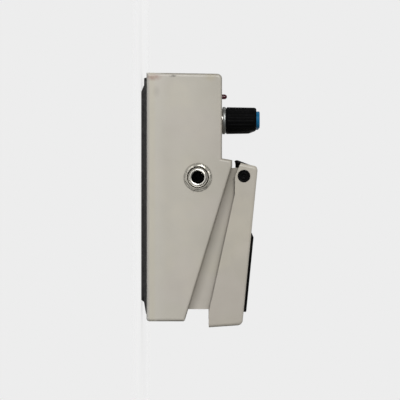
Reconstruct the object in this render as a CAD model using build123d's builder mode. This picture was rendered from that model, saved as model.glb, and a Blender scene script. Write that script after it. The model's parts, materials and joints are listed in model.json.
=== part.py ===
"""Compact foot pedal for electric guitar: cast housing, hinged treadle and three rotary controls.

Frame: millimetres, +Z up out of the control panel, +Y towards the rear end with the indicator lamp,
+X to the player's right. The origin lies on the floor, under the middle of the pedal.
"""
from build123d import *
import os
from math import cos, hypot, radians, sin, tan

# ---- overall sizes -------------------------------------------------------------------------------
body_width = 70.0          # cast housing across
overall_length = 129.0     # treadle toe to rear face
panel_height = 40.9        # floor to the control panel
rubber_thick = 1.4
plate_thick = 1.26
plate_front_taper = 5.9    # the base plate's front end rises towards the housing
plate_rear_taper = 0.4
rubber_rear_set = 3.7      # rubber sheet behind the plate's rear end
rubber_rear_taper = 3.6
rubber_front_taper = 1.2
rubber_inset = 2.3         # rubber sheet in from the housing's sides
rubber_hole_gap = 0.5      # round each base screw's head

# ---- walls and clearances ------------------------------------------------------------------------
wall = 2.8                 # housing walls
rim_wall = 3.0             # raised side walls under the treadle
end_wall = 2.5             # raised end walls under the treadle
flange_thick = 2.4         # treadle side flanges and top
flange_gap = 0.4           # treadle flange to raised wall
seat_gap = 0.02            # between pieces that are pressed or screwed together
run_gap = 0.04             # between pieces that turn or slide in each other
edge_round = 1.6           # cast outer edges

# ---- housing profile -----------------------------------------------------------------------------
rear_y = overall_length / 2
toe_y = -overall_length / 2
half = body_width / 2
housing_base = rubber_thick + plate_thick
rear_draft = 0.6
front_inset = 3.05         # housing front behind the treadle toe
front_height = 19.24       # housing front face, above its base
step_inset = 43.45         # rear face to the foot of the step
step_rise = 5.15
step_lean = 0.85
step_top = 3.05            # flat on top of the step
shoulder_angle = 17.08     # slope of the side shoulders
panel_round = 2.5
body_front = toe_y + front_inset
step_y = rear_y - step_inset
step_z = panel_height + step_rise
crest_y = step_y - step_lean - step_top
nose_drop = 5.5            # last stretch of the shoulder, at its front end
rim_front_y = toe_y + 9.2
rim_rear_y = step_y - 4.75
rim_front_z = 43.2         # top of the raised front wall
rim_rear_z = step_z + 0.4
rim_half = half - flange_thick - flange_gap
rim_inner = rim_half - rim_wall
cavity_half = half - wall

# ---- treadle -------------------------------------------------------------------------------------
hinge_y = step_y - 8.95
hinge_z = panel_height + 11.1
treadle_tilt = 5.63
treadle_crown_z = hinge_z + 6.6    # top surface above the hinge axis
toe_lip_z = 34.2
toe_lean = 1.15
tail_y = hinge_y + 6.7
tail_z = hinge_z - 1.5
tail_lean = 1.7
tail_rise = 7.7
crown_inset = 1.8          # top surface starts this far in front of the rear face's top
pad_front = toe_y + 7.8
pad_length = 40.1
pad_thick = 1.4
pad_half = 30.0
bush_radius = 3.2
bush_proud = 0.3
bush_face = 0.7            # closed outer end of the bush, inside the flange's face
pin_radius = 1.57
pin_head_radius = 2.6

# ---- thumbscrew, its axis leans back with the treadle's rear skirt -------------------------------
screw_lean = 20.6
screw_y = hinge_y + 7.1    # middle of the head's outer face
screw_z = hinge_z + 1.2
head_radius = 5.6          # at the flared outer rim
head_root_radius = 4.1
head_root = 0.9            # length of the head's straight outer rim
head_length = 4.3
shank_radius = 2.0
shank_length = 11.2
head_gap = 0.6             # head to the treadle's inner wall
inner_wall = 1.6
pillar_gap = 0.7           # treadle's inner wall to the pillar
insert_radius = 3.0
insert_length = 9.3
pillar_half = 4.6
notch_half = 8.0
notch_wall = 1.8
screw_clear = 1.0          # radial room for the shank in the treadle's inner wall

# ---- inside --------------------------------------------------------------------------------------
floor_thick = 3.0
floor_top = 9.0            # battery compartment floor
deck_top = panel_height - 2.9
deck_thick = 2.5
bulkhead_y = hinge_y - 21.9
bulkhead_thick = 2.4
pillar_radius = 4.0
screw_inset_x = 6.5        # base screws in from the housing's sides
front_screw_y = body_front + 12.95
rear_screw_y = rear_y - 14.5
board_screw_y = bulkhead_y + 7.3
m3_radius = 1.5
m3_head_radius = 2.8
m3_head = 1.1
base_screw_length = 6.0
board_screw_length = 5.0
board_z = 12.0
board_thick = 1.6
board_gap = 0.8

# ---- sockets -------------------------------------------------------------------------------------
jack_y = step_y - 9.55
jack_z = panel_height - 12.2
jack_bore = 3.2
sleeve_radius = 4.45
sleeve_length = 8.8
sleeve_proud = 1.8
jack_washer_radius = 7.1
jack_washer_thick = 0.5
jack_nut_flats = 12.0
jack_nut_thick = 0.9
dc_x = 18.0
dc_z = 19.3
dc_nose_radius = 5.4
dc_hole_radius = 3.1
dc_pin_radius = 1.0
dc_hole_depth = 11.5

# ---- controls ------------------------------------------------------------------------------------
knob_y = rear_y - 23.8
knob_pitch = 22.0
knob_gap = 0.3
knob_height = 17.2
knob_base_radius = 6.65
knob_top_radius = 6.3
knob_collar = 1.7
knob_recess_radius = 5.8
knob_recess = 4.4
cap_radius = 4.35
cap_proud = 1.7
cap_seat = 1.0
shaft_radius = 3.0
shaft_length = 22.0
pot_radius = 8.2
pot_depth = 8.0
bushing_radius = 3.5
bushing_length = 5.6
pot_washer_radius = 5.2
pot_washer_thick = 0.5
pot_nut_flats = 9.6
pot_nut_thick = 1.9
lamp_y = rear_y - 11.5
lamp_radius = 1.25
lamp_proud = 2.7

# ---- battery and spring --------------------------------------------------------------------------
battery_length = 46.4
battery_width = 26.5
battery_height = 17.5
snap_half = 12.0
lead_radius = 0.45
lead_gap = 1.2             # between the two battery leads, middle to middle
lead_rise = 2.05           # leads above the battery's middle
lead_landing = 6.2         # leads meet the board this far behind the bulkhead
foam_thick = 0.8
spring_y = rim_front_y + 8.3
spring_radius = 3.5
spring_wire = 0.45
spring_turns = 9
spring_stub_radius = 2.5
spring_stub = 5.0
switch_x = 14.0
switch_y = hinge_y - 16.1
switch_side = 6.2
switch_height = 3.5
plunger_radius = 1.7
plunger_length = 4.3
plunger_top = deck_top + 7.5
press_gap = 0.4            # treadle pad to the switch plunger

os.makedirs("parts", exist_ok=True)


def write(piece, name):
    """Label one finished piece and write it as its own file."""
    piece.part.label = name
    export_step(piece.part, f"parts/{name}.step")


def corner(vertices, x, y):
    """The sketch corner nearest to a point."""
    return min(vertices, key=lambda vertex: hypot(vertex.X - x, vertex.Y - y))


def shoulder_z(y):
    """Height of the housing's sloping shoulder."""
    return step_z - (crest_y - y) * tan(radians(shoulder_angle))


def treadle_top_z(y):
    """Height of the treadle's top surface."""
    return treadle_crown_z - (hinge_y - y) * tan(radians(treadle_tilt))


def treadle_under_z(y):
    """Height of the underside of the treadle's top."""
    return treadle_top_z(y) - flange_thick / cos(radians(treadle_tilt))


def screw_point(along, across):
    """Side-view point (Y, Z), measured along the thumbscrew from its head's face, and across it."""
    lean = radians(screw_lean)
    y = screw_y + along * cos(lean) - across * sin(lean)
    return (y, screw_z + along * sin(lean) + across * cos(lean))


def screw_plane(along):
    """Plane square to the thumbscrew's axis, facing out of the head."""
    y, z = screw_point(along, 0)
    lean = radians(screw_lean)
    return Plane(origin=(0, y, z), x_dir=(1, 0, 0), z_dir=(0, cos(lean), sin(lean)))


def side_plane(side, x):
    """Plane facing outwards at distance x from the middle, left (-1) or right (1): its x is side * Y."""
    return Plane(origin=(side * x, 0, 0), x_dir=(0, side, 0), z_dir=(side, 0, 0))


pillar_face = -(head_length + head_gap + inner_wall + pillar_gap)
inner_wall_front = -(head_length + head_gap + inner_wall)
inner_wall_rear = -(head_length + head_gap)
panel_under = panel_height - wall
cavity_rear = rear_y - rear_draft - wall
deck_under = deck_top - deck_thick
compartment_front = rim_front_y + end_wall
compartment_rear = bulkhead_y - bulkhead_thick
floor_under = floor_top - floor_thick
screw_x = half - screw_inset_x
base_screw_places = [(x, y) for x in (-screw_x, screw_x) for y in (front_screw_y, rear_screw_y)]
board_screw_places = [(x, y) for x in (-screw_x, screw_x) for y in (board_screw_y, rear_screw_y)]
battery_y = compartment_rear - 3.0 - battery_width / 2
battery_x = -3.8
battery_end = battery_x + battery_length / 2
battery_z = floor_top + foam_thick
snap_x = battery_end + 2.15
snap_thick = 2.6
lead_x = snap_x + snap_thick / 2
lead_z = battery_z + battery_height / 2 + lead_rise
knob_places = {"left": -knob_pitch, "centre": 0.0, "right": knob_pitch}
sides = {"left": -1, "right": 1}

# ---- housing -------------------------------------------------------------------------------------
nose_y = body_front + nose_drop
front_top = housing_base + front_height
with BuildPart() as enclosure:
    with BuildSketch(Plane.YZ) as side_outline:
        with BuildLine():
            Polyline(
                (body_front, housing_base),
                (rear_y, housing_base),
                (rear_y - rear_draft, panel_height),
                (step_y, panel_height),
                (step_y - step_lean, step_z),
                (crest_y, step_z),
                (nose_y, shoulder_z(nose_y)),
                (body_front, front_top),
                close=True,
            )
        make_face()
        fillet(corner(side_outline.vertices(), rear_y - rear_draft, panel_height), panel_round)
        fillet(corner(side_outline.vertices(), body_front, front_top), 1.0)
        fillet(corner(side_outline.vertices(), body_front, housing_base), 1.5)
    extrude(amount=half, both=True)
    top_edges = [
        edge
        for edge in enclosure.edges().filter_by_position(Axis.X, half - 0.01, half + 0.01)
        + enclosure.edges().filter_by_position(Axis.X, -half - 0.01, -half + 0.01)
        if edge.center().Z > housing_base + 1.0
    ]
    fillet(top_edges, edge_round)

    # raised wall that the treadle closes over, with ears for the hinge pins
    with BuildSketch(Plane.YZ) as rim_outline:
        with BuildLine():
            Polyline(
                (rim_front_y, floor_top),
                (rim_rear_y, floor_top),
                (rim_rear_y, hinge_z - 1.0),
                (hinge_y + 2.5, hinge_z + 2.6),
                (hinge_y - 1.6, hinge_z + 3.2),
                (rim_front_y, rim_front_z),
                close=True,
            )
        make_face()
        fillet(corner(rim_outline.vertices(), hinge_y + 2.5, hinge_z + 2.6), 1.0)
        fillet(corner(rim_outline.vertices(), rim_front_y, rim_front_z), 1.0)
    extrude(amount=rim_half, both=True)

    # electronics cavity: under the panel, and lower under the deck
    with BuildSketch(Plane.XY.offset(housing_base)):
        with Locations((0, (bulkhead_y + cavity_rear) / 2)):
            Rectangle(2 * cavity_half, cavity_rear - bulkhead_y)
    extrude(amount=deck_under - housing_base, mode=Mode.SUBTRACT)
    with BuildSketch(Plane.XY.offset(deck_under)):
        with Locations((0, (step_y - 1.5 + cavity_rear) / 2)):
            Rectangle(2 * cavity_half, cavity_rear - step_y + 1.5)
    extrude(amount=panel_under - deck_under, mode=Mode.SUBTRACT)

    # battery compartment, open at the top, and the hollow under its floor
    with BuildSketch(Plane.XY.offset(floor_top)):
        with Locations((0, (compartment_front + compartment_rear) / 2)):
            Rectangle(2 * rim_inner, compartment_rear - compartment_front)
    extrude(amount=panel_height, mode=Mode.SUBTRACT)
    with BuildSketch(Plane.XY.offset(housing_base)):
        with Locations((0, (body_front + wall + compartment_rear) / 2)):
            Rectangle(2 * cavity_half, compartment_rear - body_front - wall)
    extrude(amount=floor_under - housing_base, mode=Mode.SUBTRACT)

    # space over the deck, and the low rear wall behind the hinge
    with BuildSketch(Plane.XY.offset(deck_top)):
        with Locations((0, (compartment_front + rim_rear_y - end_wall) / 2)):
            Rectangle(2 * rim_inner, rim_rear_y - end_wall - compartment_front)
    extrude(amount=panel_height, mode=Mode.SUBTRACT)
    with BuildSketch(Plane.XY.offset(rim_rear_z)):
        with Locations((0, rim_rear_y)):
            Rectangle(2 * rim_inner, 2 * end_wall + 0.5)
    extrude(amount=panel_height, mode=Mode.SUBTRACT)

    # pillar that takes the thumbscrew
    with BuildSketch(Plane.YZ):
        with BuildLine():
            Polyline(
                (rim_rear_y - end_wall + 0.5, deck_top - 1.0),
                (rim_rear_y - end_wall + 0.5, screw_point(pillar_face, -pillar_half)[1] - 0.8),
                screw_point(pillar_face, -pillar_half),
                screw_point(pillar_face, pillar_half),
                screw_point(pillar_face - insert_length, pillar_half),
                (screw_point(pillar_face - insert_length, pillar_half)[0], deck_top - 1.0),
                close=True,
            )
        make_face()
    extrude(amount=pillar_half + 0.6, both=True)
    with BuildSketch(screw_plane(pillar_face)):
        Circle(insert_radius + seat_gap)
    extrude(amount=-insert_length, mode=Mode.SUBTRACT)

    # screw pillars and the spring's locating stub
    with BuildSketch(Plane.XY.offset(housing_base)):
        with Locations(*board_screw_places):
            Circle(pillar_radius)
    extrude(amount=board_z - housing_base)
    with BuildSketch(Plane.XY.offset(housing_base)):
        with Locations(*[place for place in base_screw_places if place[1] < 0]):
            Circle(pillar_radius)
    extrude(amount=floor_under + 0.5 - housing_base)
    with BuildSketch(Plane.XY.offset(floor_top - 0.5)):
        with Locations((0, spring_y)):
            Circle(spring_stub_radius)
    extrude(amount=spring_stub + 0.5)
    with BuildSketch(Plane.XY.offset(housing_base)):
        with Locations(*base_screw_places):
            Circle(m3_radius + seat_gap)
    extrude(amount=base_screw_length - plate_thick + 0.4, mode=Mode.SUBTRACT)
    with BuildSketch(Plane.XY.offset(board_z)):
        with Locations(*board_screw_places):
            Circle(m3_radius + seat_gap)
    extrude(amount=-(board_screw_length - board_thick + 0.3), mode=Mode.SUBTRACT)

    # slot in the bulkhead for the battery leads
    with BuildSketch(Plane.XZ.offset(-bulkhead_y - 1)):
        with Locations((lead_x, lead_z)):
            Rectangle(lead_gap + 2 * lead_radius + 0.8, 2 * lead_radius + 0.8)
    extrude(amount=bulkhead_thick + 2, mode=Mode.SUBTRACT)

    # holes in the panel: three controls and the lamp
    with BuildSketch(Plane.XY.offset(panel_height)):
        with Locations(*[(x, knob_y) for x in knob_places.values()]):
            Circle(bushing_radius + run_gap)
        with Locations((0, lamp_y)):
            Circle(lamp_radius + run_gap)
    extrude(amount=-2 * wall, mode=Mode.SUBTRACT)

    # holes in the sides: sockets and hinge pins
    with BuildSketch(Plane.YZ):
        with Locations((jack_y, jack_z)):
            Circle(sleeve_radius + run_gap)
        with Locations((hinge_y, hinge_z)):
            Circle(pin_radius + seat_gap)
    extrude(amount=half + 1, both=True, mode=Mode.SUBTRACT)

    # hole in the rear face for the power socket
    with BuildSketch(Plane.XZ.offset(-rear_y - 1)):
        with Locations((dc_x, dc_z)):
            Circle(dc_nose_radius + run_gap)
    extrude(amount=2 * wall, mode=Mode.SUBTRACT)
write(enclosure, "enclosure")

# ---- base ----------------------------------------------------------------------------------------
plate_front = body_front + 3.65
plate_rear = rear_y - 2.4
plate_edge = 0.25
rubber_front = toe_y + 12.7
rubber_rear = plate_rear - rubber_rear_set
with BuildPart() as base_plate:
    with BuildSketch(Plane.XY.offset(rubber_thick)):
        with Locations((0, (plate_front + plate_rear) / 2)):
            RectangleRounded(body_width - 3.6, plate_rear - plate_front, 3.0)
        with Locations(*base_screw_places):
            Circle(m3_radius + run_gap, mode=Mode.SUBTRACT)
    extrude(amount=plate_thick)
    for end_y, taper in ((plate_front, plate_front_taper), (plate_rear, -plate_rear_taper)):
        with BuildSketch(Plane.YZ):
            with BuildLine():
                Polyline(
                    (end_y, housing_base - plate_edge),
                    (end_y + taper, rubber_thick),
                    (end_y + taper, rubber_thick - 1.0),
                    (end_y - taper, rubber_thick - 1.0),
                    (end_y - taper, housing_base - plate_edge),
                    close=True,
                )
            make_face()
        extrude(amount=half, both=True, mode=Mode.SUBTRACT)
write(base_plate, "base_plate")

with BuildPart() as base_rubber:
    with BuildSketch():
        with Locations((0, (rubber_front + rubber_rear) / 2)):
            RectangleRounded(body_width - 2 * rubber_inset, rubber_rear - rubber_front, 4.0)
        with Locations(*base_screw_places):
            Circle(m3_head_radius + rubber_hole_gap, mode=Mode.SUBTRACT)
    extrude(amount=rubber_thick)
    for end_y, taper in ((rubber_front, rubber_front_taper), (rubber_rear, -rubber_rear_taper)):
        with BuildSketch(Plane.YZ):
            with BuildLine():
                Polyline(
                    (end_y, rubber_thick),
                    (end_y + taper, 0),
                    (end_y - taper, 0),
                    (end_y - taper, rubber_thick),
                    close=True,
                )
            make_face()
        extrude(amount=half, both=True, mode=Mode.SUBTRACT)
write(base_rubber, "base_rubber")


def screws(name, places, seat_z, length, up):
    """Pan-head cross-drive screws, heads at seat_z, shanks running up (1) or down (-1)."""
    with BuildPart() as group:
        with BuildSketch(Plane.XY.offset(seat_z)):
            with Locations(*places):
                Circle(m3_head_radius)
        extrude(amount=-up * m3_head)
        head_face = group.faces().sort_by(Axis.Z)[0 if up > 0 else -1].center().Z
        rims = group.edges().filter_by_position(Axis.Z, head_face - 0.01, head_face + 0.01)
        fillet(rims, 0.45)
        with BuildSketch(Plane.XY.offset(seat_z)):
            with Locations(*places):
                Circle(m3_radius)
        extrude(amount=up * length)
        with BuildSketch(Plane.XY.offset(head_face)):
            with Locations(*places):
                Rectangle(3.0, 0.6)
                Rectangle(0.6, 3.0)
        extrude(amount=up * 0.7, mode=Mode.SUBTRACT)
    write(group, name)


screws("base_screws", base_screw_places, rubber_thick, base_screw_length, 1)
screws("board_screws", board_screw_places, board_z + board_thick, board_screw_length, -1)

# ---- treadle -------------------------------------------------------------------------------------
toe_top_y = toe_y + toe_lean
crown_y = tail_y - tail_lean - crown_inset
toe_inner = flange_thick
with BuildPart() as treadle:
    with BuildSketch(Plane.YZ) as treadle_outline:
        with BuildLine():
            Polyline(
                (toe_y, toe_lip_z),
                (toe_y + 8.3, toe_lip_z),
                (toe_y + 13.85, toe_lip_z + 1.4),
                (hinge_y - 9.1, hinge_z - 4.6),
                (hinge_y, hinge_z - 4.5),
                (hinge_y + 3.0, hinge_z - 3.2),
                (tail_y - 1.5, tail_z - 0.8),
                (tail_y, tail_z),
                (tail_y - tail_lean, tail_z + tail_rise),
                (crown_y, treadle_top_z(crown_y)),
                (toe_top_y, treadle_top_z(toe_top_y)),
                close=True,
            )
        make_face()
        fillet(corner(treadle_outline.vertices(), toe_top_y, treadle_top_z(toe_top_y)), 2.6)
        fillet(corner(treadle_outline.vertices(), tail_y - tail_lean, tail_z + tail_rise), 1.2)
        fillet(corner(treadle_outline.vertices(), crown_y, treadle_top_z(crown_y)), 2.4)
    extrude(amount=half, both=True)
    crown_edges = [
        edge
        for edge in treadle.edges().filter_by_position(Axis.X, half - 0.01, half + 0.01)
        + treadle.edges().filter_by_position(Axis.X, -half - 0.01, -half + 0.01)
        if edge.center().Z > hinge_z - 0.5 - 0.1 * (hinge_y - edge.center().Y)
    ]
    fillet(crown_edges, edge_round)

    # hollow underneath, kept short of the thumbscrew's pocket in the middle
    under_rear_y = tail_y - tail_lean - 1.9
    toe_face_y = toe_y + toe_inner
    for hollow_x in (-rim_half - flange_gap, notch_half + notch_wall):
        with BuildSketch(Plane.YZ.offset(hollow_x)):
            with BuildLine():
                Polyline(
                    (toe_face_y - 1.0, floor_top),
                    (toe_face_y + toe_lean, treadle_under_z(toe_face_y + toe_lean)),
                    (under_rear_y, treadle_under_z(under_rear_y)),
                    (tail_y - 2.35, tail_z),
                    (tail_y - 0.5, hinge_z - 7.0),
                    (tail_y - 0.5, floor_top),
                    close=True,
                )
            make_face()
        extrude(amount=rim_half + flange_gap - notch_half - notch_wall, mode=Mode.SUBTRACT)
    wall_low_y, wall_low_z = screw_point(inner_wall_front, -7.0)
    wall_high_y = screw_point(inner_wall_front, 4.6)[0]
    with BuildSketch(Plane.YZ):
        with BuildLine():
            Polyline(
                (toe_face_y - 1.0, floor_top),
                (toe_face_y + toe_lean, treadle_under_z(toe_face_y + toe_lean)),
                (wall_high_y, treadle_under_z(wall_high_y)),
                (wall_low_y, wall_low_z),
                (wall_low_y, floor_top),
                close=True,
            )
        make_face()
    extrude(amount=notch_half + notch_wall, both=True, mode=Mode.SUBTRACT)

    # finger notch round the thumbscrew, and the hole for its shank
    with BuildSketch(Plane.YZ):
        with BuildLine():
            Polyline(
                screw_point(inner_wall_rear, -14.0),
                screw_point(inner_wall_rear, 14.0),
                screw_point(inner_wall_rear + 20.0, 14.0),
                screw_point(inner_wall_rear + 20.0, -14.0),
                close=True,
            )
        make_face()
    extrude(amount=notch_half, both=True, mode=Mode.SUBTRACT)
    with BuildSketch(screw_plane(0)):
        Circle(shank_radius + screw_clear)
    extrude(amount=inner_wall_front - 1.0, mode=Mode.SUBTRACT)

    # hinge bush holes through both flanges
    with BuildSketch(Plane.YZ):
        with Locations((hinge_y, hinge_z)):
            Circle(bush_radius + seat_gap)
    extrude(amount=half + 1, both=True, mode=Mode.SUBTRACT)

    # stubs under the top: one holds the spring, one presses the switch
    with BuildSketch(Plane.XY.offset(treadle_under_z(spring_y) - spring_stub)):
        with Locations((0, spring_y)):
            Circle(spring_stub_radius)
    extrude(amount=spring_stub + 1.2)
    with BuildSketch(Plane.XY.offset(plunger_top + press_gap + board_gap)):
        with Locations((switch_x, switch_y)):
            Circle(spring_stub_radius + 1.0)
    extrude(amount=treadle_under_z(switch_y) + 1.2 - plunger_top - press_gap - board_gap)
write(treadle, "treadle")

pad_rear = pad_front + pad_length
with BuildPart() as treadle_pad:
    with BuildSketch(Plane.YZ):
        with BuildLine():
            Polyline(
                (pad_front, treadle_top_z(pad_front)),
                (pad_front, treadle_top_z(pad_front) + pad_thick),
                (pad_rear - 2.0, treadle_top_z(pad_rear - 2.0) + pad_thick),
                (pad_rear, treadle_top_z(pad_rear)),
                close=True,
            )
        make_face()
    extrude(amount=pad_half, both=True)
    pad_plane = Plane(
        origin=(0, pad_front, treadle_top_z(pad_front) + pad_thick),
        x_dir=(1, 0, 0),
        z_dir=(0, -sin(radians(treadle_tilt)), cos(radians(treadle_tilt))),
    )
    with BuildSketch(pad_plane):
        for row in range(8):
            with Locations((0, 4.6 + row * 4.3)):
                Rectangle(2 * pad_half - 7.0, 1.3)
    extrude(amount=-0.6, mode=Mode.SUBTRACT)
write(treadle_pad, "treadle_pad")

# ---- hinge ---------------------------------------------------------------------------------------
for side_name, side in sides.items():
    with BuildPart() as bush:
        with BuildSketch(side_plane(side, rim_half + 0.15)):
            with Locations((side * hinge_y, hinge_z)):
                Circle(bush_radius)
        extrude(amount=half + bush_proud - rim_half - 0.15)
        fillet(bush.edges().filter_by(GeomType.CIRCLE).sort_by(Axis.X)[-1 if side > 0 else 0], 0.3)
        with BuildSketch(side_plane(side, rim_half + 0.15)):
            with Locations((side * hinge_y, hinge_z)):
                Circle(pin_radius + run_gap)
        extrude(amount=half - bush_face - rim_half - 0.15, mode=Mode.SUBTRACT)
        with BuildSketch(side_plane(side, half + bush_proud)):
            with Locations((side * hinge_y, hinge_z)):
                Circle(bush_radius - 0.9)
                Circle(bush_radius - 1.7, mode=Mode.SUBTRACT)
        extrude(amount=-0.45, mode=Mode.SUBTRACT)
    write(bush, f"hinge_bush_{side_name}")
    with BuildPart() as pin:
        with BuildSketch(side_plane(side, rim_inner)):
            with Locations((side * hinge_y, hinge_z)):
                Circle(pin_radius)
        extrude(amount=half - bush_face - 0.15 - rim_inner)
        chamfer(pin.edges().filter_by(GeomType.CIRCLE).sort_by(Axis.X)[-1 if side > 0 else 0], 0.3)
        with BuildSketch(side_plane(side, rim_inner)):
            with Locations((side * hinge_y, hinge_z)):
                Circle(pin_head_radius)
        extrude(amount=-1.2)
    write(pin, f"hinge_pin_{side_name}")

# ---- thumbscrew and its thread insert ------------------------------------------------------------
knurls = 28
with BuildPart() as thumbscrew:
    with BuildSketch(screw_plane(-head_length)):
        Circle(head_root_radius)
    with BuildSketch(screw_plane(-head_root)):
        Circle(head_radius)
    loft()
    with BuildSketch(screw_plane(-head_root)):
        Circle(head_radius)
    extrude(amount=head_root)
    chamfer(thumbscrew.faces().sort_by(Axis.Y)[-1].edges(), 0.3)
    with BuildSketch(screw_plane(-head_length)):
        with PolarLocations(head_radius + 0.15, knurls):
            Circle(0.4)
    extrude(amount=head_length, mode=Mode.SUBTRACT)
    with BuildSketch(screw_plane(-head_length)):
        Circle(shank_radius)
    extrude(amount=-shank_length)
    with BuildSketch(screw_plane(0)):
        Rectangle(5.4, 1.0)
    extrude(amount=-1.2, mode=Mode.SUBTRACT)
write(thumbscrew, "thumbscrew")

with BuildPart() as thread_insert:
    with BuildSketch(screw_plane(pillar_face)):
        Circle(insert_radius)
        Circle(shank_radius + run_gap, mode=Mode.SUBTRACT)
    extrude(amount=-insert_length)
write(thread_insert, "thread_insert")

# ---- return spring, stop bumpers and switch ------------------------------------------------------
spring_base = floor_top + spring_wire + 0.02
spring_rise = treadle_under_z(spring_y) - spring_wire - 0.6 - spring_base
with BuildPart() as return_spring:
    with BuildLine():
        pitch = spring_rise / spring_turns
        coil = Helix(pitch, spring_rise, spring_radius, center=(0, spring_y, spring_base))
    with BuildSketch(Plane(origin=coil @ 0, z_dir=coil % 0)):
        Circle(spring_wire)
    sweep(is_frenet=True)
write(return_spring, "return_spring")

bumper_height = 1.4
bumper_length = 9.0
rim_slope = (hinge_z + 3.2 - rim_front_z) / (hinge_y - 1.6 - rim_front_y)
with BuildPart() as stop_bumpers:
    for bumper_x in (-rim_inner + 6.0, rim_inner - 6.0 - bumper_length):
        with BuildSketch(Plane.YZ.offset(bumper_x)):
            with BuildLine():
                Polyline(
                    (rim_front_y + 0.6, rim_front_z + 0.6 * rim_slope + 0.02),
                    (rim_front_y + end_wall, rim_front_z + end_wall * rim_slope + 0.02),
                    (rim_front_y + end_wall, rim_front_z + end_wall * rim_slope + bumper_height),
                    (rim_front_y + 0.6, rim_front_z + 0.6 * rim_slope + bumper_height),
                    close=True,
                )
            make_face()
        extrude(amount=bumper_length)
write(stop_bumpers, "stop_bumpers")

switch_board_thick = 1.2
with BuildPart() as switch_board:
    with BuildSketch(Plane.XY.offset(deck_top)):
        with Locations((switch_x, switch_y)):
            RectangleRounded(15.0, 10.0, 0.8)
    extrude(amount=switch_board_thick)
write(switch_board, "switch_board")

with BuildPart() as switch_body:
    with BuildSketch(Plane.XY.offset(deck_top + switch_board_thick)):
        with Locations((switch_x, switch_y)):
            RectangleRounded(switch_side, switch_side, 0.5)
    extrude(amount=switch_height)
    with BuildSketch(Plane.XY.offset(deck_top + switch_board_thick + switch_height)):
        with Locations((switch_x, switch_y)):
            Circle(plunger_radius + run_gap)
    extrude(amount=0.3 - switch_height, mode=Mode.SUBTRACT)
write(switch_body, "switch_body")

with BuildPart() as switch_plunger:
    with BuildSketch(Plane.XY.offset(plunger_top - plunger_length)):
        with Locations((switch_x, switch_y)):
            Circle(plunger_radius)
    extrude(amount=plunger_length)
    fillet(switch_plunger.edges().sort_by(Axis.Z)[-1], 0.4)
write(switch_plunger, "switch_plunger")

with BuildPart() as actuator_pad:
    with BuildSketch(Plane.XY.offset(plunger_top + press_gap)):
        with Locations((switch_x, switch_y)):
            Circle(spring_stub_radius + 0.6)
    extrude(amount=board_gap)
write(actuator_pad, "actuator_pad")

# ---- circuit board and what stands on it ---------------------------------------------------------
board_half = cavity_half - 0.8
board_front = bulkhead_y + 0.8
board_rear = cavity_rear - 0.8
board_top = board_z + board_thick
with BuildPart() as main_board:
    with BuildSketch(Plane.XY.offset(board_z)):
        with Locations((0, (board_front + board_rear) / 2)):
            Rectangle(2 * board_half, board_rear - board_front)
        with Locations(*board_screw_places):
            Circle(m3_radius + run_gap, mode=Mode.SUBTRACT)
    extrude(amount=board_thick)
write(main_board, "main_board")

with BuildPart() as board_chips:
    for chip_x in (-12.0, 0.0, 12.0):
        with BuildSketch(Plane.XY.offset(board_top)):
            with Locations((chip_x, jack_y + 13.0)):
                Rectangle(6.4, 9.6)
        extrude(amount=3.4)
        chamfer(board_chips.faces().sort_by(Axis.Z)[-1].edges(), 0.3)
write(board_chips, "board_chips")

with BuildPart() as board_capacitors:
    with BuildSketch(Plane.XY.offset(board_top)):
        with Locations((-20.0, rear_y - 10.5), (-10.0, rear_y - 10.5)):
            Circle(3.2)
        with Locations((0.0, rear_y - 20.0), (9.0, rear_y - 21.0)):
            Circle(2.5)
    extrude(amount=9.0)
    fillet(board_capacitors.faces().sort_by(Axis.Z)[-4:].edges(), 0.5)
write(board_capacitors, "board_capacitors")

with BuildPart() as board_resistors:
    for row in range(6):
        with BuildSketch(Plane.YZ.offset(-22.0 + row * 8.0)):
            with Locations((rear_y - 27.5, board_top + 1.15)):
                Circle(1.15)
        extrude(amount=6.3)
write(board_resistors, "board_resistors")

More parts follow.
